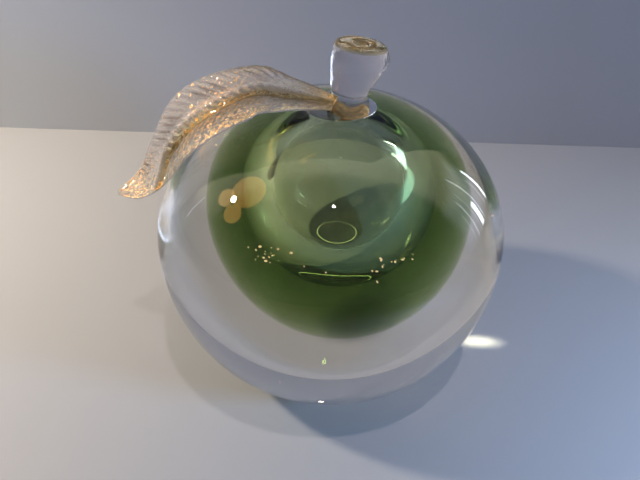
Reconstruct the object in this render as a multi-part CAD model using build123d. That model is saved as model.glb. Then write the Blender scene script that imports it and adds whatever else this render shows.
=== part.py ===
from build123d import *
from math import acos, cos, pi, radians, sin, sqrt
import os

# Clear outer casing: a near-sphere with a ground base and a dimple in its top
body_radius = 50.0
equator_height = 46.6
base_radius = 22.2
base_edge_radius = 1.2
crest_height = 86.4
crest_ring = 3.0
dimple_radius = 9.5
dimple_depth = 3.2

# Green inner glass and the air bubble trapped in it, both a little off the body's axis. Each is placed by
# the thickness of the glass over its top
core_shift = 1.8
core_cover = 4.8
core_radius = 28.6
core_rise = 24.6
core_fall = 28.4
bubble_cover = 3.1
bubble_radius = 21.0
bubble_rise = 20.0
bubble_fall = 20.8

# Clear stem: circles up its leaning axis, each as (x, height over the dimple's floor, radius), and the slope
# and rim of its sheared top
stem_rings = [(4.6, -1.2, 7.2), (4.6, 3.3, 5.4), (4.7, 6.8, 5.05),
              (6.0, 10.9, 6.3), (7.0, 15.0, 7.3), (7.2, 19.0, 6.7)]
stem_depth_shift = 0.5
stem_top_slope = 7.0
stem_rim_radius = 1.0

# Leaf stalk: a round trail of glass from the leaf's root over the front of the stem's foot
stalk_radius = 1.7
stalk_front = (4.4, -7.2)
stalk_end = (7.9, -5.3)
stalk_lift = 0.5

# Leaf blade: stations of its midrib from root to tip, each as (angle up from the body's widest ring in
# degrees, gap to the body, y), and at each one the widths to the back and front edges, how far the back edge
# rises above the midrib, how far the front edge falls below it and the share of the full thickness
midrib_stations = [(94.1, 3.8, -6.6), (81.4, 5.1, -2.0), (72.1, 7.3, 0.0), (60.1, 7.2, 0.0), (46.9, 6.5, 0.0),
                   (32.2, 5.1, 0.0), (21.0, 6.8, 0.0), (14.3, 12.5, 0.0)]
back_widths = [2.4, 9.0, 11.0, 11.0, 10.6, 8.0, 3.9, 0.6]
front_widths = [2.4, 9.0, 11.4, 12.0, 11.4, 9.2, 6.4, 1.2]
back_rises = [0.2, -0.8, 1.0, 3.6, 5.2, 4.1, 2.0, 0.2]
front_falls = [0.6, 1.8, 3.2, 3.4, 3.8, 3.6, 2.0, 0.1]
thickness_shares = [0.8, 0.8, 0.9, 1.0, 1.0, 0.9, 0.7, 0.4]
midrib_thickness = 2.8
edge_thickness = 1.0

# Gold foil sealed inside the blade: its thickness, its depth under the upper face and its share of the
# blade's width
foil_thickness = 0.3
foil_sink = 0.6
foil_share = 0.7

# The upper half of the body stands on a ring, and the leaf follows the same oval grown by its gap
upper_radius = body_radius - crest_ring
upper_rise = crest_height - equator_height
midrib = []
for angle, gap, y in midrib_stations:
    x = -crest_ring - (upper_radius + gap) * cos(radians(angle))
    midrib.append((x, y, equator_height + (upper_rise + gap) * sin(radians(angle))))


def oval_side(ring, height, radius, rise, start, end):
    """A smooth line along an oval standing on a ring, between two angles up from its widest point."""
    steps = 8
    angles = [start + (end - start) * i / steps for i in range(steps + 1)]
    points = [(ring + radius * cos(a), height + rise * sin(a)) for a in angles]
    slopes = [(-radius * sin(a), rise * cos(a)) for a in (start, end)]
    return Spline(points, tangents=slopes)


def egg(radius, height, rise, fall, shift):
    """A closed body of revolution with different semi-axes above and below its widest ring."""
    lower = oval_side(0, height, radius, fall, -pi / 2, 0)
    upper = oval_side(0, height, radius, rise, 0, pi / 2)
    axis_line = Line(upper @ 1, lower @ 0)
    return Pos(shift, 0, 0) * revolve(Plane.XZ * make_face([lower, upper, axis_line]), Axis.Z)


def leaf_plane(index):
    """The plane across the midrib at one of its points, with x towards the front edge and y upwards."""
    ahead = Vector(midrib[min(index + 1, len(midrib) - 1)]) - Vector(midrib[max(index - 1, 0)])
    return Plane(midrib[index], x_dir=(0, -1, 0), z_dir=ahead)


def leaf_section(index, share, sink, mid_thickness, side_thickness):
    """A closed outline across the leaf, over a share of its width and sunk below its upper face."""
    back = back_widths[index] * share
    front = front_widths[index] * share
    mid_side = mid_thickness * thickness_shares[index]
    side = side_thickness * thickness_shares[index]
    middle = (0, -sink)
    back_top = (-back, back_rises[index] * share - sink)
    front_top = (front, -front_falls[index] * share - sink)
    top = Spline(back_top, middle, front_top)
    front_side = Line(front_top, (front, front_top[1] - side))
    bottom = Spline(front_side @ 1, (0, -sink - mid_side), (-back, back_top[1] - side))
    back_side = Line(bottom @ 1, back_top)
    return leaf_plane(index) * make_face([top, front_side, bottom, back_side])


# The whole round body, before the green glass is taken out of it
lower_depth = equator_height / sqrt(1 - (base_radius / body_radius) ** 2)
base_angle = -acos(base_radius / body_radius)
dimple_floor = crest_height - dimple_depth
crest_angle = acos((dimple_radius - crest_ring) / upper_radius)
lower_side = oval_side(0, equator_height, body_radius, lower_depth, base_angle, 0)
upper_side = oval_side(crest_ring, equator_height, upper_radius, upper_rise, 0, crest_angle)
crest = upper_side @ 1
dimple = Spline(crest, (0, dimple_floor), tangents=[upper_side % 1, (-1, 0)])
body_axis = Line((0, dimple_floor), (0, 0))
base_line = Line((0, 0), (base_radius, 0))
body = revolve(Plane.XZ * make_face([base_line, lower_side, upper_side, dimple, body_axis]), Axis.Z)
body = fillet(body.edges().group_by(Axis.Z)[0], base_edge_radius)

# Green glass inside the casing, and the bubble inside the green glass
core_height = dimple_floor - core_cover - core_rise
bubble_height = core_height + core_rise - bubble_cover - bubble_rise
green_outside = egg(core_radius, core_height, core_rise, core_fall, core_shift)
bubble = egg(bubble_radius, bubble_height, bubble_rise, bubble_fall, core_shift)
clear_casing = body - green_outside
green_core = green_outside - bubble

# Stem, seated in the dimple
stem_circles = []
for x, height, radius in stem_rings:
    slope = stem_top_slope if height == stem_rings[-1][1] else 0
    level = Plane((x, stem_depth_shift, dimple_floor + height))
    stem_circles.append(level * Rot(0, slope, 0) * Circle(radius))
stem = loft(stem_circles)
stem = fillet(stem.faces().sort_by(Axis.Z)[-1].edges(), stem_rim_radius)
stem -= body

# Stalk, from the plane of the leaf's root round the front of the stem's foot, with a rounded end
root_centre = leaf_plane(0).from_local_coords((0, -midrib_thickness * thickness_shares[0] / 2, 0))
front_point = (*stalk_front, crest_height + stalk_lift)
end_point = (*stalk_end, crest_height + stalk_lift)
stalk_line = Spline(root_centre, front_point, end_point, tangents=[leaf_plane(0).z_dir * -1, (1, 0.9, 0)])
stalk = sweep(Plane(root_centre, z_dir=stalk_line % 0) * Circle(stalk_radius), path=stalk_line)
stalk += Pos(end_point) * Sphere(stalk_radius)
leaf_stalk = stalk - body - stem

# Blade, hung from the stalk, and the foil in it
stations = range(len(midrib))
blade = loft([leaf_section(i, 1, 0, midrib_thickness, edge_thickness) for i in stations])
foil_sizes = (foil_share, foil_sink, foil_thickness, foil_thickness)
leaf_gold_foil = loft([leaf_section(i, *foil_sizes) for i in stations[1:-1]])
leaf_blade = blade - leaf_gold_foil

os.makedirs("parts", exist_ok=True)
export_step(clear_casing, "parts/clear_casing.step")
export_step(green_core, "parts/green_core.step")
export_step(stem, "parts/stem.step")
export_step(leaf_stalk, "parts/leaf_stalk.step")
export_step(leaf_blade, "parts/leaf_blade.step")
export_step(leaf_gold_foil, "parts/leaf_gold_foil.step")
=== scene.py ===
import math
import random

import bmesh
import bpy
from mathutils import Matrix, Vector, noise


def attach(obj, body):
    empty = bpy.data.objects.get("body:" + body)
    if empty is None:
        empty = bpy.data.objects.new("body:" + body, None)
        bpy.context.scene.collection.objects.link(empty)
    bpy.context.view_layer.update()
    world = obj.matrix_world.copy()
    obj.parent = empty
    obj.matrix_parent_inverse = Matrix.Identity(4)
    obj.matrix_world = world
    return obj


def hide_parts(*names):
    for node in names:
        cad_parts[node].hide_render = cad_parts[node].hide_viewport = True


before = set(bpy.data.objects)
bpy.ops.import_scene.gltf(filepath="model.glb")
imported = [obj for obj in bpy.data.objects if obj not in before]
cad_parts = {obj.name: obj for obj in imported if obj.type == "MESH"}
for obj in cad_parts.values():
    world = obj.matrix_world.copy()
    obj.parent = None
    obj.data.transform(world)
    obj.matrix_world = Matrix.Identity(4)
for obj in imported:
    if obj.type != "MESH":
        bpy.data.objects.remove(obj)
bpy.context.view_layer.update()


# Green inner glass: the first gather of the apple, blown out round an air bubble and then cased in clear.
# It is fused all over to the casing, so its skin neither mirrors nor bends light and only its colour shows.
# Sizes are in mm, as for every piece, and MM turns them to the frame's metres.
MM = 0.001
CORE_SHIFT = 1.8
CORE_HEIGHT, CORE_RADIUS, CORE_RISE, CORE_FALL = 53.8, 28.6, 24.6, 28.4
BUBBLE_HEIGHT, BUBBLE_RADIUS, BUBBLE_RISE, BUBBLE_FALL = 55.3, 21.0, 20.0, 20.8
BUBBLE_SKIN = 0.05


def oval(height, radius, rise, fall, steps=96):
    """Points (radius, height) in mm up one side of an egg, from its bottom to its top."""
    points = []
    for i in range(steps + 1):
        a = math.pi * (i / steps - 0.5)
        points.append((radius * math.cos(a), height + (rise if a > 0 else fall) * math.sin(a)))
    return points


def spun(points, shift=0.0, inward=False, turns=192):
    """A closed surface made by spinning a line of (radius, height) points about the Z axis."""
    bm = bmesh.new()
    chain = [bm.verts.new((r * MM, 0, z * MM)) for r, z in points]
    line = [bm.edges.new(pair) for pair in zip(chain, chain[1:])]
    bmesh.ops.spin(bm, geom=chain + line, axis=(0, 0, 1), angle=2 * math.pi, steps=turns, use_merge=True)
    bmesh.ops.remove_doubles(bm, verts=bm.verts, dist=1e-6)
    bmesh.ops.recalc_face_normals(bm, faces=bm.faces)
    if inward:
        bmesh.ops.reverse_faces(bm, faces=bm.faces)
    bmesh.ops.translate(bm, verts=bm.verts, vec=(shift * MM, 0, 0))
    return bm


def merged(*meshes):
    """Several bmeshes in one."""
    whole = bmesh.new()
    step = bpy.data.meshes.new("step")
    for bm in meshes:
        bm.to_mesh(step)
        bm.free()
        whole.from_mesh(step)
    bpy.data.meshes.remove(step)
    return whole


def add_piece(name, bm, material, slot, *nodes, smooth=True):
    """Links a finished mesh as a piece that rides on the one body and stands for CAD nodes."""
    mesh = bpy.data.meshes.new(name)
    bm.to_mesh(mesh)
    bm.free()
    for polygon in mesh.polygons:
        polygon.use_smooth = smooth
    mesh.materials.append(material)
    obj = bpy.data.objects.new(name, mesh)
    bpy.context.scene.collection.objects.link(obj)
    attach(obj, "root")
    if nodes:
        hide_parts(*nodes)
    return obj


def add_node(tree, kind, inputs=None, **settings):
    """A new shader node with its settings and the values of its inputs."""
    node = tree.nodes.new("ShaderNode" + kind)
    for setting, value in settings.items():
        setattr(node, setting, value)
    for entry, value in (inputs or {}).items():
        node.inputs[entry].default_value = value
    return node


def wire(tree, *links):
    """Links nodes, each link given as the first node, its output, the next node and its input."""
    for source, output, target, entry in links:
        tree.links.new(source.outputs[output], target.inputs[entry])


def glass(name, ior, tint, lamp_tint):
    """A clear Principled glass that lets lamps through, so that what lies behind it is lit."""
    material = bpy.data.materials.new(name)
    material.use_nodes = True
    tree = material.node_tree
    shader = tree.nodes["Principled BSDF"]
    shader.inputs["Base Color"].default_value = (*tint, 1)
    shader.inputs["Roughness"].default_value = 0.0
    shader.inputs["IOR"].default_value = ior
    shader.inputs["Transmission Weight"].default_value = 1.0
    through = add_node(tree, "BsdfTransparent", {"Color": (*lamp_tint, 1)})
    path, mix = add_node(tree, "LightPath"), add_node(tree, "MixShader")
    wire(tree,
         (path, "Is Shadow Ray", mix, "Fac"),
         (shader, "BSDF", mix, 1),
         (through, "BSDF", mix, 2),
         (mix, "Shader", tree.nodes["Material Output"], "Surface"))
    return material


striae = bpy.data.node_groups.new("striae", "ShaderNodeTree")
for socket, side in (("Pale", "INPUT"), ("Deep", "INPUT"), ("Color", "OUTPUT")):
    striae.interface.new_socket(socket, in_out=side, socket_type="NodeSocketColor")
striae_in, striae_out = striae.nodes.new("NodeGroupInput"), striae.nodes.new("NodeGroupOutput")
cords_place = add_node(striae, "TexCoord")
cords = add_node(striae, "TexNoise", {"Scale": 40, "Detail": 2, "Distortion": 1.5})
cords_share = add_node(striae, "MapRange", {"From Min": 0.35, "From Max": 0.65})
cords_mix = add_node(striae, "Mix", data_type="RGBA")
wire(striae,
     (cords_place, "Object", cords, "Vector"),
     (cords, "Fac", cords_share, "Value"),
     (cords_share, "Result", cords_mix, "Factor"),
     (striae_in, "Pale", cords_mix, "A"),
     (striae_in, "Deep", cords_mix, "B"),
     (cords_mix, "Result", striae_out, "Color"))


def corded(material, deep):
    """Runs faint cords of a deeper colour through a glass, and gives the node that holds its colour."""
    tree = material.node_tree
    shader = tree.nodes["Principled BSDF"]
    pale = tuple(shader.inputs["Base Color"].default_value)
    cords_node = add_node(tree, "Group", {"Pale": pale, "Deep": (*deep, 1)}, node_tree=striae)
    wire(tree, (cords_node, "Color", shader, "Base Color"))
    return cords_node


green_glass = glass("green_glass", 1.0, (1, 1, 1), (1, 1, 1))
corded(green_glass, (0.90, 0.95, 0.86))
green_tree = green_glass.node_tree
absorb = add_node(green_tree, "VolumeAbsorption", {"Color": (0.373, 0.536, 0.109, 1), "Density": 93})
wire(green_tree, (absorb, "Volume", green_tree.nodes["Material Output"], "Volume"))
green_outside = oval(CORE_HEIGHT, CORE_RADIUS, CORE_RISE, CORE_FALL)
bubble_wall = [size + BUBBLE_SKIN for size in (BUBBLE_RADIUS, BUBBLE_RISE, BUBBLE_FALL)]
green_inside = oval(BUBBLE_HEIGHT, *bubble_wall)
green_mesh = merged(spun(green_outside, CORE_SHIFT), spun(green_inside, CORE_SHIFT, inward=True))
add_piece("green_gather", green_mesh, green_glass, "green_glass", "green_core")


# Clear casing: the thick last gather, shaped to an apple in a wet block, dimpled and ground flat beneath.
# It and the green glass bend light alike, so the mesh runs on to the bubble, where light next bends.
# Under the stem it is left open, because the glass is one there and has no skin.
BODY_RADIUS, EQUATOR, LOWER_DEPTH = 50.0, 46.6, 52.0
CREST, CREST_RING, DIMPLE_RADIUS, DIMPLE_FLOOR = 86.4, 3.0, 9.5, 83.2
BASE_RADIUS, BASE_EDGE, BASE_FLARE = 22.2, 1.2, 0.35
SEAM_RING = 14.0
STEM_RINGS = [(4.6, 82.0, 7.2), (4.6, 86.5, 5.4), (4.7, 90.0, 5.05),
              (6.0, 94.1, 6.3), (7.0, 98.2, 7.3), (7.2, 102.2, 6.7)]
STEM_Y = 0.5
TURNS = 256
SIDE_STEPS, CREST_STEPS, SEAT_STEPS = 72, 64, 24


def between(values, t):
    """A smooth curve through evenly spaced vectors or numbers, read at t from 0 to 1."""
    last = len(values) - 1
    i = min(int(t * last), last - 1)
    f = t * last - i
    a, b = values[i], values[i + 1]
    before = values[i - 1] if i else a * 2 - b
    after = values[i + 2] if i + 2 <= last else b * 2 - a
    bend = (before * 2 - a * 5 + b * 4 - after) * f * f + (a * 3 - b * 3 + after - before) * f ** 3
    return a + ((b - before) * f + bend) * 0.5


def top_height(radius):
    """Height in mm of the casing's top at a distance from its axis, in the dimple or outside it."""
    rise, ring = CREST - EQUATOR, BODY_RADIUS - CREST_RING
    share = (max(radius, DIMPLE_RADIUS) - CREST_RING) / ring
    height = EQUATOR + rise * math.sqrt(1 - share * share)
    if radius >= DIMPLE_RADIUS:
        return height
    slope = -rise / ring * share / math.sqrt(1 - share * share)
    t = radius / DIMPLE_RADIUS
    lift, run = height - DIMPLE_FLOOR, slope * DIMPLE_RADIUS
    return DIMPLE_FLOOR + (3 * lift - run) * t ** 2 + (run - 2 * lift) * t ** 3


def stem_skin(way, height):
    """A point in mm on the stem's side, in a level direction from its axis."""
    line = [Vector(ring) for ring in STEM_RINGS]
    low, high = 0.0, 1.0
    for _ in range(24):
        middle = (low + high) / 2
        if between(line, middle).y < height:
            low = middle
        else:
            high = middle
    x, _, radius = between(line, low)
    return Vector((x + radius * way.x, STEM_Y + radius * way.y, height))


def stem_foot(way):
    """The point in mm where the stem's side meets the casing."""
    foot = stem_skin(way, DIMPLE_FLOOR)
    for _ in range(12):
        foot = stem_skin(way, top_height(foot.xy.length))
    return foot


def apple_side():
    """Points (radius, height) in mm from the middle of the base, up the side and over to the seam ring."""
    points = [(0, 0), (BASE_RADIUS / 2, 0), (BASE_RADIUS - BASE_EDGE, 0)]
    low = -math.acos((BASE_RADIUS + BASE_FLARE) / BODY_RADIUS)
    for i in range(SIDE_STEPS + 1):
        a = low * (1 - i / SIDE_STEPS)
        points.append((BODY_RADIUS * math.cos(a), EQUATOR + LOWER_DEPTH * math.sin(a)))
    high = math.acos((SEAM_RING - CREST_RING) / (BODY_RADIUS - CREST_RING))
    for i in range(1, CREST_STEPS + 1):
        radius = CREST_RING + (BODY_RADIUS - CREST_RING) * math.cos(high * i / CREST_STEPS)
        points.append((radius, top_height(radius)))
    return points


bubble = oval(BUBBLE_HEIGHT, BUBBLE_RADIUS, BUBBLE_RISE, BUBBLE_FALL)
casing_mesh = merged(spun(apple_side(), turns=TURNS), spun(bubble, CORE_SHIFT, inward=True))
seat = bmesh.new()
for k in range(SEAT_STEPS + 1):
    for vert in bmesh.ops.create_circle(seat, segments=TURNS, radius=1)["verts"]:
        way = vert.co.xy.normalized()
        spot = (way * SEAM_RING).lerp(stem_foot(way).xy, k / SEAT_STEPS)
        vert.co = Vector((spot.x, spot.y, top_height(spot.length))) * MM
bmesh.ops.bridge_loops(seat, edges=seat.edges[:])
bmesh.ops.recalc_face_normals(seat, faces=seat.faces)
if sum(face.normal.z for face in seat.faces) < 0:
    bmesh.ops.reverse_faces(seat, faces=seat.faces)
casing_mesh = merged(casing_mesh, seat)
bmesh.ops.remove_doubles(casing_mesh, verts=casing_mesh.verts, dist=1e-6)

clear_glass = glass("clear_glass", 1.5, (0.98, 0.985, 0.97), (0.22, 0.23, 0.22))
corded(clear_glass, (0.945, 0.95, 0.93))
add_piece("casing", casing_mesh, clear_glass, "clear_glass", "clear_casing")


# Stem: a bit of clear glass dropped into the dimple, drawn up leaning to one side and sheared off.
# Its foot runs into the casing without a skin between them. Its top swells to a lip beside the sheared face,
# # which the shears left rough; the face is also tinted brownish.
STEM_SLOPE = 7.0
STEM_LIP, LIP_DROP, LIP_SINK = 1.0, 0.2, 0.8
STEM_NECK, STEM_SHOULDER, STEM_AXIS_TOP = 87.2, 101.0, 102.0
STEM_SIDES = TURNS // 2
FOOT_ROWS, STEM_ROWS, LIP_ROWS, TOP_ROWS = 10, 48, 8, 16
SWELL, SWELL_HEIGHT, SWELL_SPAN = 0.25, 98.0, 3.0
STEM_WAVE, TOP_DOME, TOP_WAVE = 0.10, 0.3, 0.1


def tube(rings, sides, open_start=False):
    """A skin over rings, each a (matrix, radius) in mm, closed unless its start is left open."""
    bm = bmesh.new()
    for i, (matrix, radius) in enumerate(rings):
        cap = i == len(rings) - 1 or (i == 0 and not open_start)
        bmesh.ops.create_circle(bm, segments=sides, radius=radius, matrix=matrix, cap_ends=cap)
    bmesh.ops.bridge_loops(bm, edges=bm.edges[:])
    bmesh.ops.recalc_face_normals(bm, faces=bm.faces)
    return bm


def stem_ring(height, turn, shrink):
    """A ring of the stem at a height, turned about Y by some degrees and drawn in."""
    middle = (stem_skin(Vector((1, 0)), height) + stem_skin(Vector((-1, 0)), height)) / 2
    radius = stem_skin(Vector((1, 0)), height).x - middle.x
    return Matrix.Translation(middle) @ Matrix.Rotation(math.radians(turn), 4, "Y"), radius - shrink


stem_rings = [stem_ring(STEM_NECK, 0, 0)] * FOOT_ROWS
for i in range(STEM_ROWS + 1):
    height = STEM_NECK + (STEM_SHOULDER - STEM_NECK) * i / STEM_ROWS
    stem_rings.append(stem_ring(height, STEM_SLOPE * (i / STEM_ROWS) ** 3, 0))
for i in range(1, LIP_ROWS + 1):
    a = math.pi / 2 * i / LIP_ROWS
    matrix, radius = stem_ring(STEM_RINGS[-1][1] - LIP_DROP, STEM_SLOPE, STEM_LIP * (1 - math.cos(a)))
    stem_rings.append((Matrix.Translation((0, 0, STEM_LIP * (math.sin(a) - LIP_SINK))) @ matrix, radius))
wall_rows = len(stem_rings)
rim_matrix, rim_radius = stem_rings[-1]
for i in range(1, TOP_ROWS):
    stem_rings.append((rim_matrix, rim_radius * (1 - i / TOP_ROWS)))
stem_mesh = tube(stem_rings, STEM_SIDES, open_start=True)
stem_mesh.verts.ensure_lookup_table()
for i, vert in enumerate(stem_mesh.verts):
    middle = stem_ring(max(STEM_NECK, min(STEM_AXIS_TOP, vert.co.z)), 0, 0)[0].translation
    way = (vert.co - middle).xy.normalized()
    row = i // STEM_SIDES
    if row < FOOT_ROWS:
        foot = stem_foot(way)
        vert.co = stem_skin(way, foot.z + (STEM_NECK - foot.z) * row / FOOT_ROWS)
    elif row < wall_rows:
        lobe = max(0, way.x) ** 2
        push = lobe * SWELL * math.exp(-((vert.co.z - SWELL_HEIGHT) / SWELL_SPAN) ** 2)
        wave = STEM_WAVE * noise.noise(Vector((way.x * 1.6, way.y * 1.6, vert.co.z * 0.16)))
        vert.co.xy += way * (push + wave * min(1, (vert.co.z - STEM_NECK) / 2))
    else:
        out = (vert.co - rim_matrix.translation).length / rim_radius
        wave = TOP_WAVE * noise.noise(Vector((vert.co.x * 0.28, vert.co.y * 0.33, 4.0)))
        vert.co.z += TOP_DOME * (1 - out * out) + wave
bmesh.ops.scale(stem_mesh, vec=(MM, MM, MM), verts=stem_mesh.verts)

stem_glass = glass("stem_glass", 1.5, (1.0, 0.96, 0.95), (0.6, 0.6, 0.62))
stem_tree = stem_glass.node_tree
stem_shader = stem_tree.nodes["Principled BSDF"]
stem_shader.inputs["Transmission Weight"].default_value = 0.95
stem_cords = corded(stem_glass, (0.95, 0.88, 0.88))
stem_place = add_node(stem_tree, "TexCoord")
shear_normal = (math.tan(math.radians(STEM_SLOPE)), 0, 1)
up_the_shear = add_node(stem_tree, "VectorMath", {1: shear_normal}, operation="DOT_PRODUCT")
near_top = add_node(stem_tree, "MapRange", {"From Min": 0.1024, "From Max": 0.1028})
stem_tint = add_node(stem_tree, "Mix", {"B": (0.72, 0.61, 0.36, 1)}, data_type="RGBA")
cut_face = add_node(stem_tree, "MapRange", {"To Min": 0.08, "To Max": 0.85})
drawn = add_node(stem_tree, "Mapping", {"Scale": (420, 420, 90)})
swirls = add_node(stem_tree, "TexNoise", {"Scale": 1, "Detail": 2})
stem_bump = add_node(stem_tree, "Bump", {"Strength": 0.5, "Distance": 0.0009})
wire(stem_tree,
     (stem_place, "Object", up_the_shear, 0),
     (up_the_shear, "Value", near_top, "Value"),
     (stem_cords, "Color", stem_tint, "A"),
     (near_top, "Result", stem_tint, "Factor"),
     (stem_tint, "Result", stem_shader, "Base Color"),
     (near_top, "Result", cut_face, "Value"),
     (cut_face, "Result", stem_shader, "Roughness"),
     (stem_place, "Object", drawn, "Vector"),
     (drawn, "Vector", swirls, "Vector"),
     (swirls, "Fac", stem_bump, "Height"),
     (stem_bump, "Normal", stem_shader, "Normal"))
add_piece("stem_bit", stem_mesh, stem_glass, "clear_glass", "stem")


# Leaf stalk: a trail of gold-bearing clear glass laid over the front of the stem's foot while hot.
# It is fused to the stem and the casing, and carries the leaf at its other end.
STALK_RADIUS = 1.7
STALK_POINTS = [(0.4, -6.6, 89.0), (2.3, -7.15, 87.9), (4.4, -7.2, 86.9),
                (6.3, -6.5, 86.75), (7.9, -5.3, 86.9)]
STALK_ROWS, STALK_END_ROWS, STALK_SIDES = 40, 10, 48
STALK_SEAT = 0.02

leaf_glass = glass("leaf_glass", 1.46, (1.0, 0.95, 0.91), (0.95, 0.93, 0.9))
leaf_tree = leaf_glass.node_tree
leaf_shader = leaf_tree.nodes["Principled BSDF"]
leaf_shader.inputs["Transmission Weight"].default_value = 0.76
leaf_shader.inputs["Roughness"].default_value = 0.06
leaf_place, leaf_axes = add_node(leaf_tree, "TexCoord"), add_node(leaf_tree, "SeparateXYZ")
streaks = add_node(leaf_tree, "TexNoise", {"Scale": 260, "Detail": 3})
leaf_pale = tuple(leaf_shader.inputs["Base Color"].default_value)
pale = add_node(leaf_tree, "Mix", {"A": leaf_pale, "B": (0.95, 0.88, 0.83, 1)}, data_type="RGBA")
near_root = add_node(leaf_tree, "MapRange", {"From Min": -0.009, "From Max": 0.001})
golden = add_node(leaf_tree, "Mix", {"B": (1.0, 0.66, 0.27, 1)}, data_type="RGBA")
# Amber browns the glass in front of the ridge and in the rim behind the root; the deeper brown in the channel
# just in front of the ridge is partly painted shade.
amber = add_node(leaf_tree, "Attribute", attribute_name="amber")
front_amber_and_shade = add_node(leaf_tree, "Mix", {"B": (0.36, 0.25, 0.08, 1)}, data_type="RGBA")
# The groove attribute darkens the glass along a line down each groove: painted shade.
groove = add_node(leaf_tree, "Attribute", attribute_name="groove")
shaded = add_node(leaf_tree, "Mix", {"B": (0.10, 0.06, 0.03, 1)}, data_type="RGBA")
crinkle = add_node(leaf_tree, "TexNoise", {"Scale": 700, "Detail": 2})
crinkled = add_node(leaf_tree, "Bump", {"Strength": 0.5, "Distance": 0.0004})
wire(leaf_tree,
     (leaf_place, "Object", leaf_axes, "Vector"),
     (leaf_place, "Object", streaks, "Vector"),
     (streaks, "Fac", pale, "Factor"),
     (leaf_axes, "X", near_root, "Value"),
     (near_root, "Result", golden, "Factor"),
     (pale, "Result", golden, "A"),
     (amber, "Fac", front_amber_and_shade, "Factor"),
     (golden, "Result", front_amber_and_shade, "A"),
     (groove, "Fac", shaded, "Factor"),
     (front_amber_and_shade, "Result", shaded, "A"),
     (shaded, "Result", leaf_shader, "Base Color"),
     (leaf_place, "Object", crinkle, "Vector"),
     (crinkle, "Fac", crinkled, "Height"),
     (crinkled, "Normal", leaf_shader, "Normal"))

stalk_line = [Vector(point) for point in STALK_POINTS]


def stalk_ring(t, radius):
    """A ring across the stalk, at t from 0 at the leaf to 1 at its end."""
    ahead = between(stalk_line, min(1, t + 0.01)) - between(stalk_line, max(0, t - 0.01))
    turn = ahead.to_track_quat("Z", "X").to_matrix().to_4x4()
    return Matrix.Translation(between(stalk_line, t)) @ turn, radius


stalk_rings = [stalk_ring(i / STALK_ROWS, STALK_RADIUS) for i in range(STALK_ROWS + 1)]
stalk_end = stalk_rings[-1][0]
for i in range(1, STALK_END_ROWS):
    a = math.pi / 2 * i / STALK_END_ROWS
    onward = Matrix.Translation((0, 0, STALK_RADIUS * math.sin(a)))
    stalk_rings.append((stalk_end @ onward, STALK_RADIUS * math.cos(a)))
stalk_mesh = tube(stalk_rings, STALK_SIDES)
for vert in stalk_mesh.verts:
    vert.co.z = max(vert.co.z, top_height(vert.co.xy.length) + STALK_SEAT)
bmesh.ops.scale(stalk_mesh, vec=(MM, MM, MM), verts=stalk_mesh.verts)
add_piece("stalk_trail", stalk_mesh, leaf_glass, "leaf_glass", "leaf_stalk")


# Leaf blade: a flattened drop of clear glass, crimped to raise its ribs and drawn out to a tip.
# It stands clear of the casing all along and hangs only from the stalk, at its root.
MIDRIB = [(0.63, -6.6, 90.09), (-10.79, -2.0, 91.0), (-19.69, 0.0, 91.42), (-30.02, 0.0, 87.34),
          (-39.56, 0.0, 80.41), (-47.09, 0.0, 70.53), (-53.23, 0.0, 63.3), (-60.66, 0.0, 59.52)]
BACK_WIDTHS = [2.4, 9.0, 11.0, 11.0, 10.6, 8.0, 3.9, 0.6]
FRONT_WIDTHS = [2.4, 9.0, 11.4, 12.0, 11.4, 9.2, 6.4, 1.2]
BACK_RISES = [0.2, -0.8, 1.0, 3.6, 5.2, 4.1, 2.0, 0.2]
FRONT_FALLS = [0.6, 1.8, 3.2, 3.4, 3.8, 3.6, 2.0, 0.1]
THICKNESS = [0.8, 0.8, 0.9, 1.0, 1.0, 0.9, 0.7, 0.4]
MID_THICK, EDGE_THICK = 2.8, 1.0
RIB_PITCH, RIB_SLANT, RIB_DEPTH = 2.6, 1.05, 0.7
RIBS_START, RIBS_FULL, RIBS_END, RIBS_FADE = 14, 21, 71, 8
LEAF_STEPS, LEAF_ROWS = 400, 64

midrib = [Vector(point) for point in MIDRIB]
rib_lengths = [0.0]
for i in range(1, LEAF_STEPS + 1):
    step = between(midrib, i / LEAF_STEPS) - between(midrib, (i - 1) / LEAF_STEPS)
    rib_lengths.append(rib_lengths[-1] + step.length)


def ramp(value, start, end):
    """0 before start, 1 after end and even between them."""
    return min(1.0, max(0.0, (value - start) / (end - start)))


def bell(value, middle, spread):
    """1 at the middle, falling away on both sides of it."""
    return math.exp(-((value - middle) / spread) ** 2)


def leaf_frame(u):
    """The midrib's point at u, and the directions across it to the front edge and up out of the leaf."""
    ahead = between(midrib, min(1, u + 0.004)) - between(midrib, max(0, u - 0.004))
    ahead.normalize()
    across = Vector((0, -1, 0))
    across = (across - ahead * across.dot(ahead)).normalized()
    return between(midrib, u), across, ahead.cross(across)


def ridge_place(u):
    """Where across the leaf its ridge runs: along the midrib, then out to the front edge beside the tip."""
    t = ramp(u, 0.66, 0.80)
    return t * t * (3 - 2 * t)


def rib_groove(u, v, sharp=False):
    """Depth of the crimped grooves at a place on the leaf: 1 in a groove, 0 on the crown of a rib. The sharp
    form is a painted shade line down each groove, weaker in some of them."""
    run = rib_lengths[round(u * LEAF_STEPS)]
    off = abs(v) * between(BACK_WIDTHS if v < 0 else FRONT_WIDTHS, u)
    wave = abs(math.sin(math.pi * (run - RIB_SLANT * off) / RIB_PITCH))
    ends = ramp(off, 1.2, 3.0) * ramp(run, RIBS_START, RIBS_FULL) * ramp(RIBS_END - run, 0, RIBS_FADE)
    ends *= 1.0 if v < 0 else 0.15
    if sharp:
        number = round((run - RIB_SLANT * off) / RIB_PITCH)
        shade_dash = 0.45 + 0.55 * (math.sin(number * 5.3) > -0.2)
        line = min(1.0, 2.4 * max(0.0, 1 - wave / 0.5))
        return line * ends * ramp(1 + v, 0.1, 0.35) * ramp(-v, 0.15, 0.35) * shade_dash
    return (1 - wave ** 0.55) * ends


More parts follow.
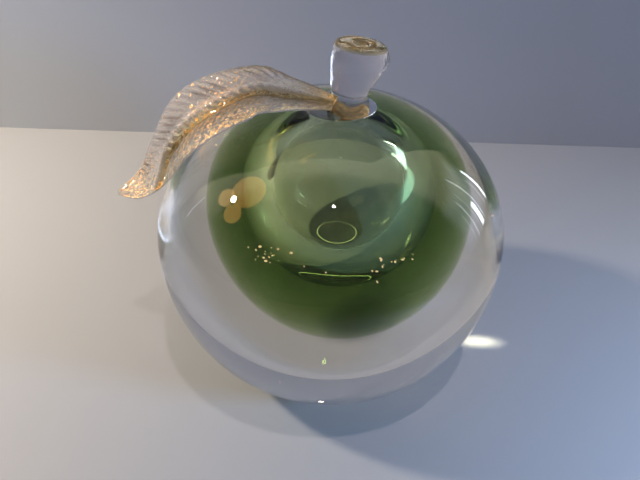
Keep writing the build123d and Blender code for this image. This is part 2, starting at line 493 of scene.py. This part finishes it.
def leaf_amber_and_shade(u, v):
    """How brown the glass is: a light amber over the front half, deeper in the channel just in front of the
    ridge, where it is partly painted shade, and in the thick rim behind the root.
    """
    beside = v - ridge_place(u)
    front = ramp(beside, 0.0, 0.06) * (0.26 + 0.7 * bell(beside, 0.2, 0.24))
    rim = bell(v, -0.94, 0.12) * ramp(0.5 - u, 0.0, 0.25)
    return min(1.0, front + 0.8 * rim)


def leaf_point(u, v, depth):
    """A point of the leaf in metres: u runs from root to tip, v from back edge to front edge, and depth
    through the glass from its upper face, 0, to its under face, 1."""
    here, across, up = leaf_frame(u)
    width = between(BACK_WIDTHS if v < 0 else FRONT_WIDTHS, u)
    back, front = between(BACK_RISES, u), between(FRONT_FALLS, u)
    thick = (EDGE_THICK + (MID_THICK - EDGE_THICK) * (1 - v * v)) * between(THICKNESS, u)
    thick += 0.7 * bell(v, -0.9, 0.08) * ramp(u, 0.02, 0.1) * ramp(0.45 - u, 0, 0.15)
    close = math.sqrt(max(0.0, 1 - abs(v) ** 10))
    groove = rib_groove(u, v)
    face = (0.5 - depth) * 2
    rise = -(back + front) / 2 * v + (back - front) / 2 * v * v - thick / 2 * (1 - max(0.0, -v) ** 3)
    rise += face * close * (thick / 2 - RIB_DEPTH * groove)
    if face > 0:
        off = (v - ridge_place(u)) * width
        ridge = 0.8 * bell(off, 0, 0.7) - 1.0 * bell(off, 2.6, 1.5)
        rise += face * ridge * ramp(u, 0.0, 0.15) * ramp(1 - u, 0.1, 0.25) * close
    edge = 1 - 0.04 * groove * abs(v) ** 3
    return (here + across * v * width * edge + up * rise) * MM


def leaf_sheet(depth):
    """One face of the leaf as a grid, closer spaced at its edges, that keeps its painted groove shade and its
    brown, which is partly painted shade.
    """
    bm = bmesh.new()
    bmesh.ops.create_grid(bm, x_segments=LEAF_STEPS, y_segments=LEAF_ROWS, size=1)
    groove_shades, browns_and_shade = bm.verts.layers.float.new("groove"), bm.verts.layers.float.new("amber")
    for vert in bm.verts:
        u, v = (vert.co.x + 1) / 2, math.sin(vert.co.y * math.pi / 2)
        vert[groove_shades] = rib_groove(u, v, sharp=True)
        vert[browns_and_shade] = leaf_amber_and_shade(u, v)
        vert.co = leaf_point(u, v, depth)
    return bm


leaf_mesh = merged(leaf_sheet(0.0), leaf_sheet(1.0))
bmesh.ops.remove_doubles(leaf_mesh, verts=leaf_mesh.verts, dist=1e-6)
bmesh.ops.holes_fill(leaf_mesh, edges=[e for e in leaf_mesh.edges if e.is_boundary], sides=0)
bmesh.ops.recalc_face_normals(leaf_mesh, faces=leaf_mesh.faces)
leaf = add_piece("leaf", leaf_mesh, leaf_glass, "leaf_glass", "leaf_blade")
# Rays that the gold inside mirrors pass straight out through the blade, so the flakes catch the lamps.
leaf.visible_glossy = False


# Gold foil: torn gold leaf rolled on to the glass before the leaf was shaped, then sealed inside it.
# Drawing the leaf out broke it into flakes, closest along the midrib's channel, the edge and both ends.
FOIL_THICK = 0.02


def gold_cover(u, v):
    """How much of the foil is left at a place on the leaf."""
    front = ramp(v - ridge_place(u), 0.0, 0.1) * (0.4 + 0.3 * bell(v, 0.25, 0.2))
    edge = ramp(v, 0.72, 0.9) * ramp(u, 0.1, 0.2)
    ends = ramp(0.2 - u, 0, 0.15) + 1.3 * ramp(u, 0.74, 0.84)
    back = 0.2 * bell(u, 0.3, 0.12) * ramp(-v, 0.1, 0.3)
    return min(0.93, 0.04 + front + 0.5 * edge + 0.7 * ends + back)


def flakes(columns, rows, share, tilt, chance):
    """Breaks a sheet inside the leaf into leaning flakes, keeps some of them, and shades each one."""
    bm = bmesh.new()
    bmesh.ops.create_grid(bm, x_segments=columns, y_segments=rows, size=1)
    for vert in [v for v in bm.verts if not v.is_boundary]:
        vert.co.x += chance.uniform(-0.8, 0.8) / columns
        vert.co.y += chance.uniform(-0.8, 0.8) / rows
    middles = {face: face.calc_center_median() for face in bm.faces}
    gone = [f for f, m in middles.items() if chance.random() > share * gold_cover((m.x + 1) / 2, m.y)]
    bmesh.ops.delete(bm, geom=gone, context="FACES")
    bmesh.ops.split_edges(bm, edges=bm.edges[:])
    layer = bm.verts.layers.float.new("shade")
    for face in bm.faces:
        middle = face.calc_center_median()
        lean = Vector((chance.gauss(0, tilt), chance.gauss(0, tilt)))
        size = chance.uniform(0.55, 1.0)
        at_u = (middle.x + 1) / 2
        # Flakes in front of the ridge are darker, painted shade in the channel there; the random spread is
        # the foil's own tone.
        front = ramp(middle.y - ridge_place(at_u), 0.0, 0.1) * ramp(0.72 - middle.y, 0.0, 0.3)
        shade = 0.82 - 0.52 * front + chance.uniform(-0.25, 0.25)
        edge = max(ramp(middle.y, 0.7, 0.9), ramp(at_u, 0.76, 0.84))
        for vert in face.verts:
            way = (vert.co - middle) * size
            at = middle + way
            depth = 0.4 - 0.18 * edge + 6 * (1 + edge) * (way.x * lean.x * 3 + way.y * lean.y)
            vert[layer] = shade
            u = min(0.992, max(0.015, (at.x + 1) / 2))
            vert.co = leaf_point(u, 0.97 * at.y, min(0.75, max(0.1, depth)))
    return bm


def stalk_flakes(count, chance):
    """Long flakes drawn out along the stalk."""
    bm = bmesh.new()
    layer = bm.verts.layers.float.new("shade")
    for _ in range(count):
        matrix, radius = stalk_ring(chance.uniform(0.0, 0.98), STALK_RADIUS)
        turn = chance.uniform(0, 2 * math.pi)
        out = radius * chance.uniform(0.3, 0.82)
        spot = matrix @ Vector((out * math.cos(turn), out * math.sin(turn), 0))
        if spot.z < top_height(spot.xy.length) + 0.4:
            continue
        lean = Matrix.Rotation(turn, 3, "Z") @ Matrix.Rotation(math.pi / 2 + chance.gauss(0, 0.2), 3, "Y")
        flake = Matrix.Translation(spot * MM) @ (matrix.to_3x3() @ lean).to_4x4()
        flake = flake @ Matrix.Diagonal((3.0, 0.7, 1, 1))
        sides, size, shade = chance.randint(5, 7), chance.uniform(0.08, 0.3), chance.uniform(0.1, 0.7)
        made = bmesh.ops.create_circle(bm, cap_ends=True, segments=sides, radius=size * MM, matrix=flake)
        for vert in made["verts"]:
            vert[layer] = shade
    return bm


gold = bpy.data.materials.new("gold_foil")
gold.use_nodes = True
gold_tree = gold.node_tree
gold_shader = gold_tree.nodes["Principled BSDF"]
gold_shader.inputs["Metallic"].default_value = 1.0
gold_shader.inputs["Roughness"].default_value = 0.16
gold_place = add_node(gold_tree, "TexCoord")
gold_shade = add_node(gold_tree, "Attribute", attribute_name="shade")
gold_colors = add_node(gold_tree, "ValToRGB")
gold_colors.color_ramp.elements[0].color = (0.16, 0.10, 0.03, 1)
gold_colors.color_ramp.elements[1].color = (1.0, 0.90, 0.72, 1)
gold_colors.color_ramp.elements.new(0.4).color = (0.50, 0.36, 0.15, 1)
gold_colors.color_ramp.elements.new(0.7).color = (0.85, 0.67, 0.40, 1)
wrinkles = add_node(gold_tree, "TexNoise", {"Scale": 2500})
gold_bump = add_node(gold_tree, "Bump", {"Strength": 0.4, "Distance": 0.0003})
wire(gold_tree,
     (gold_shade, "Fac", gold_colors, "Fac"),
     (gold_colors, "Color", gold_shader, "Base Color"),
     (gold_place, "Object", wrinkles, "Vector"),
     (wrinkles, "Fac", gold_bump, "Height"),
     (gold_bump, "Normal", gold_shader, "Normal"))
tearing = random.Random(7)
large_flakes = flakes(84, 26, 0.8, 0.03, tearing)
small_flakes = flakes(180, 60, 0.45, 0.06, tearing)
gold_mesh = merged(large_flakes, small_flakes, stalk_flakes(240, tearing))
bmesh.ops.solidify(gold_mesh, geom=gold_mesh.faces[:], thickness=FOIL_THICK * MM)
add_piece("gold_flakes", gold_mesh, gold, "gold_foil", "leaf_gold_foil", smooth=False)


# Gold specks: crumbs of the same gold caught between the green glass and the casing, mostly in front.
# They lie in two clusters on the outside of the green glass, and nothing but the glass holds them.
# Each cluster is a count, a bearing round the green glass and a scatter, in degrees.
SPECK_CLUSTERS = [(22, -125, 7), (16, -66, 8), (7, -100, 25), (6, 0, 90)]
SPECK_TILT, SPECK_TILT_SCATTER = 3.5, 3.5
SPECK_LEAST, SPECK_SPREAD = 0.07, 0.36
SPECK_SHADE = 0.8

specks_mesh = bmesh.new()
luck = random.Random(5)
for count, bearing, scatter in SPECK_CLUSTERS:
    for _ in range(count):
        turn = math.radians(luck.gauss(bearing, scatter))
        tilt = math.radians(luck.gauss(SPECK_TILT, SPECK_TILT_SCATTER))
        reach = luck.uniform(1.015, 1.04)
        flat = CORE_RADIUS * reach * math.cos(tilt)
        spot = Vector((CORE_SHIFT + flat * math.cos(turn), flat * math.sin(turn),
                       CORE_HEIGHT + CORE_RISE * reach * math.sin(tilt)))
        lean = Matrix.Rotation(luck.uniform(0, 6), 4, (luck.random(), luck.random(), 1))
        lean = lean @ Matrix.Diagonal((1, 0.7, 0.5, 1))
        bmesh.ops.create_icosphere(specks_mesh, subdivisions=2, matrix=Matrix.Translation(spot * MM) @ lean,
                                   radius=(SPECK_LEAST + SPECK_SPREAD * luck.random() ** 2) * MM)
speck_layer = specks_mesh.verts.layers.float.new("shade")
for vert in specks_mesh.verts:
    vert[speck_layer] = SPECK_SHADE
speck_gold = gold.copy()
speck_gold.name = "gold_speck"
speck_shader = speck_gold.node_tree.nodes["Principled BSDF"]
speck_shader.inputs["Roughness"].default_value = 0.35
# A faint glow stands for the lamp light that the round glass gathers on each crumb.
speck_shader.inputs["Emission Color"].default_value = (1.0, 0.62, 0.32, 1)
speck_shader.inputs["Emission Strength"].default_value = 0.6
add_piece("gold_specks", specks_mesh, speck_gold, "gold_foil")


# Stage: a plain pale table top and a grey backdrop behind it, painted lighter at the left as painted fall-off
# of the key lamp,
# # lit by three small lamps. Panels that light nothing by themselves are there to be mirrored in the glass
# and the gold, or seen through the glass.
# A glowing ring under the base and a narrow fourth lamp stand for the light that the glass gathers.
APPLE_MIDDLE = (0, 0, 0.05)
PANEL_MIDDLE = (0, -0.015, 0.07)
TABLE_DROP, RING_DROP = 0.00005, 0.00003
TABLE_COLOR = (0.60, 0.59, 0.58)
WINDOW_REACH, WINDOW_DEGREE = 0.55, 0.0096
# Upright bars of the window, each as bearing, lowest and highest elevation in degrees, width and glow.
WINDOW_BARS = [(55, -6, 16, 0.014, 14), (59, -4, 14, 0.006, 3), (66, -6, 30, 0.009, 5),
               (69.5, -5, 10, 0.034, 14), (73, -6, 24, 0.005, 3), (77, -6, 22, 0.009, 4),
               (81, -4, 16, 0.006, 2.5), (-73, 3, 22, 0.007, 4)]
RING_INSIDE, RING_OUTSIDE, RING_SIDES = 16.2, 16.9, 128


def stage_piece(name, bm, material, matrix):
    """Links a mesh as a piece of the stage."""
    mesh = bpy.data.meshes.new(name)
    bm.to_mesh(mesh)
    bm.free()
    mesh.materials.append(material)
    obj = bpy.data.objects.new(name, mesh)
    obj.matrix_world = matrix
    bpy.context.scene.collection.objects.link(obj)
    return obj


def sheet(width, length):
    """A flat rectangle in metres."""
    bm = bmesh.new()
    bmesh.ops.create_grid(bm, x_segments=1, y_segments=1, size=1)
    bmesh.ops.scale(bm, vec=(width / 2, length / 2, 1), verts=bm.verts)
    return bm


def painted(name, left, right, left_x, right_x):
    """A matt material that goes from one colour to another along its own X, unseen from behind."""
    material = bpy.data.materials.new(name)
    material.use_nodes = True
    tree = material.node_tree
    shader = tree.nodes["Principled BSDF"]
    shader.inputs["Roughness"].default_value = 0.45
    place, axes = add_node(tree, "TexCoord"), add_node(tree, "SeparateXYZ")
    along = add_node(tree, "MapRange", {"From Min": left_x, "From Max": right_x})
    color = add_node(tree, "Mix", {"A": (*left, 1), "B": (*right, 1)}, data_type="RGBA")
    surface, nothing = add_node(tree, "NewGeometry"), add_node(tree, "BsdfTransparent")
    mix = add_node(tree, "MixShader")
    wire(tree,
         (place, "Object", axes, "Vector"),
         (axes, "X", along, "Value"),
         (along, "Result", color, "Factor"),
         (color, "Result", shader, "Base Color"),
         (surface, "Backfacing", mix, "Fac"),
         (shader, "BSDF", mix, 1),
         (nothing, "BSDF", mix, 2),
         (mix, "Shader", tree.nodes["Material Output"], "Surface"))
    return material


def facing(place, target=APPLE_MIDDLE):
    """A matrix at a place, its Z axis towards a target."""
    turn = (Vector(target) - Vector(place)).to_track_quat("Z", "Y").to_matrix().to_4x4()
    return Matrix.Translation(place) @ turn


def hang(light, place, target):
    """Puts a lamp at a place, shining at a target and out of sight in the glass."""
    obj = bpy.data.objects.new(light.name, light)
    obj.matrix_world = facing(place, target) @ Matrix.Rotation(math.pi, 4, "X")
    obj.visible_glossy = False
    obj.visible_transmission = False
    bpy.context.scene.collection.objects.link(obj)


def lamp(name, place, size, power, target=APPLE_MIDDLE, spread=180):
    """A small round lamp for the table and backdrop, its beam as wide as the spread in degrees."""
    light = bpy.data.lights.new(name, "AREA")
    light.shape = "DISK"
    light.size = size
    light.spread = math.radians(spread)
    light.energy = max(power)
    light.color = [part / max(power) for part in power]
    hang(light, place, target)


def glowing(name, color):
    """A material that adds light to whatever is seen through it."""
    material = bpy.data.materials.new(name)
    material.use_nodes = True
    tree = material.node_tree
    shine = add_node(tree, "Emission", {"Color": (*color, 1)})
    nothing, both = add_node(tree, "BsdfTransparent"), add_node(tree, "AddShader")
    wire(tree,
         (shine, "Emission", both, 0),
         (nothing, "BSDF", both, 1),
         (both, "Shader", tree.nodes["Material Output"], "Surface"))
    return material


def only_through_glass(obj):
    """Keeps a stage piece out of sight, and out of the light on the table, except in or through the glass."""
    obj.visible_camera = False
    obj.visible_diffuse = False
    obj.visible_shadow = False


def panel(name, bearing, height, reach, size, light, soft=0.3, disc=False, mirrored=True, seen_through=True):
    """A glowing panel with soft edges, at a bearing from the back towards the right and an elevation, both in
    degrees. It is only seen mirrored in the glass or through it."""
    b, e = math.radians(bearing), math.radians(height)
    way = Vector((math.sin(b) * math.cos(e), math.cos(b) * math.cos(e), math.sin(e)))
    material = glowing(name, [part / max(light) for part in light])
    tree = material.node_tree
    place, axes = add_node(tree, "TexCoord"), add_node(tree, "SeparateXYZ")
    wire(tree, (place, "Object", axes, "Vector"))
    far = add_node(tree, "Math", operation="ADD" if disc else "MAXIMUM")
    for i, length in enumerate(size):
        off = add_node(tree, "Math", {1: 2 / length}, operation="MULTIPLY")
        square = add_node(tree, "Math", operation="MULTIPLY")
        wire(tree, (axes, "XY"[i], off, 0), (off, 0, square, 0), (off, 0, square, 1), (square, 0, far, i))
    edges = {"From Min": 1 - soft, "From Max": 1, "To Min": max(light), "To Max": 0}
    fade = add_node(tree, "MapRange", edges, interpolation_type="SMOOTHSTEP")
    wire(tree, (far, 0, fade, "Value"), (fade, "Result", tree.nodes["Emission"], "Strength"))
    obj = stage_piece(name, sheet(*size), material, facing(Vector(PANEL_MIDDLE) + reach * way))
    only_through_glass(obj)
    obj.visible_glossy = mirrored
    obj.visible_transmission = seen_through


table_paint = painted("table", TABLE_COLOR, TABLE_COLOR, -1, 1)
stage_piece("table", sheet(3, 3), table_paint, Matrix.Translation((0, 0, -TABLE_DROP)))
# The backdrop is painted lighter at the left and darker at the right: painted fall-off of the key lamp's
# light.
backdrop_falloff_paint = painted("backdrop", (0.565, 0.60, 0.66), (0.41, 0.36, 0.33), -0.03, 0.24)
backdrop_turn = Matrix.Translation((0, 0.15, 0)) @ Matrix.Rotation(math.radians(-4), 4, "Z")
backdrop_stand = Matrix.Translation((-0.125, 0, 0.3)) @ Matrix.Rotation(math.radians(90), 4, "X")
stage_piece("backdrop", sheet(0.6, 0.6), backdrop_falloff_paint, backdrop_turn @ backdrop_stand)

lamp("key", (-0.44, 0.005, 0.43), 0.05, (0.505, 0.45, 0.385), (-0.22, 0.05, 0), 70)
lamp("overhead", (0.088, -0.287, 0.9), 0.03, (1.14, 1.05, 1.08))
lamp("fill", (0.22, -0.15, 0.12), 0.06, (0.185, 0.305, 0.56))
panel("shade_1", -85.6, 46.9, 0.477, (0.178, 0.178), (3.6, 1.7, 0.35), 0.15, disc=True)
panel("shade_2", -82.4, 33.8, 0.462, (0.09, 0.09), (4.6, 2.4, 0.8), 0.15, disc=True)
panel("shade_3", -96.1, 33.5, 0.462, (0.10, 0.10), (3.8, 1.9, 0.45), 0.15, disc=True)
panel("bulb", -86.6, 37.6, 0.42, (0.03, 0.03), (420, 370, 300), 0.4, disc=True)
panel("overhead_bulb", 175, 73, 0.9, (0.03, 0.03), (160, 140, 115), 0.4, disc=True)
panel("ceiling", 0, 58, 0.7, (4.0, 0.85), (1.2, 1.12, 0.8), 0.75, seen_through=False)
panel("window", 72, 12, WINDOW_REACH, (0.40, 0.36), (0.75, 0.85, 1.1), 0.8)
for bearing, lowest, highest, width, glow in WINDOW_BARS:
    bar = (width, WINDOW_DEGREE * (highest - lowest))
    bluish = (glow * 0.8, glow * 0.9, glow)
    panel("window_%d" % bearing, bearing, (lowest + highest) / 2, WINDOW_REACH, bar, bluish, 0.5)
panel("pane", 64, -8, 0.3, (0.11, 0.11), (2.2, 2.7, 3.8), 0.8, mirrored=False)
panel("pane_2", 84, -20, 0.17, (0.12, 0.05), (0.6, 1.0, 1.3), 0.9, mirrored=False)

caught = glowing("caught_light", (1.0, 0.95, 0.6))
ring_tree = caught.node_tree
ring_place, ring_axes = add_node(ring_tree, "TexCoord"), add_node(ring_tree, "SeparateXYZ")
front_glow = {"From Min": 0.014, "From Max": -0.016, "To Min": 0.3, "To Max": 3.0}
to_front = add_node(ring_tree, "MapRange", front_glow)
wire(ring_tree,
     (ring_place, "Object", ring_axes, "Vector"),
     (ring_axes, "Y", to_front, "Value"),
     (to_front, "Result", ring_tree.nodes["Emission"], "Strength"))
ring = bmesh.new()
for radius in (RING_INSIDE, RING_OUTSIDE):
    bmesh.ops.create_circle(ring, segments=RING_SIDES, radius=radius * MM)
bmesh.ops.bridge_loops(ring, edges=ring.edges[:])
only_through_glass(stage_piece("caught_light", ring, caught, Matrix.Translation((0, 0, -RING_DROP))))
focus = bpy.data.lights.new("focus", "SPOT")
focus.energy = 22.0
focus.color = (1.0, 0.97, 0.72)
focus.spot_size = math.radians(1.2)
focus.spot_blend = 1.0
focus.shadow_soft_size = 0.002
hang(focus, (0.3, -0.02, 0.1), (0.0505, 0.0, 0))

world = bpy.data.worlds.new("studio")
bpy.context.scene.world = world
world.use_nodes = True
sky = world.node_tree.nodes["Background"]
sky.inputs["Color"].default_value = (0.8, 0.86, 0.92, 1)
ray = add_node(world.node_tree, "LightPath")
dim = add_node(world.node_tree, "MapRange", {"To Min": 0.12, "To Max": 0.01})
wire(world.node_tree, (ray, "Is Diffuse Ray", dim, "Value"), (dim, "Result", sky, "Strength"))

camera = bpy.data.cameras.new("camera")
camera.sensor_width = 36
camera.lens = 36.56
camera.clip_start = 0.005
camera_obj = bpy.data.objects.new("camera", camera)
camera_obj.location = (-0.003, -0.15832, 0.15753)
camera_obj.rotation_euler = (math.radians(54), 0, 0)
bpy.context.scene.collection.objects.link(camera_obj)
bpy.context.scene.camera = camera_obj
bpy.context.scene.view_settings.view_transform = "Standard"
cycles = bpy.context.scene.cycles
cycles.max_bounces = 24
cycles.transmission_bounces = 24
cycles.transparent_max_bounces = 24
cycles.glossy_bounces = 12
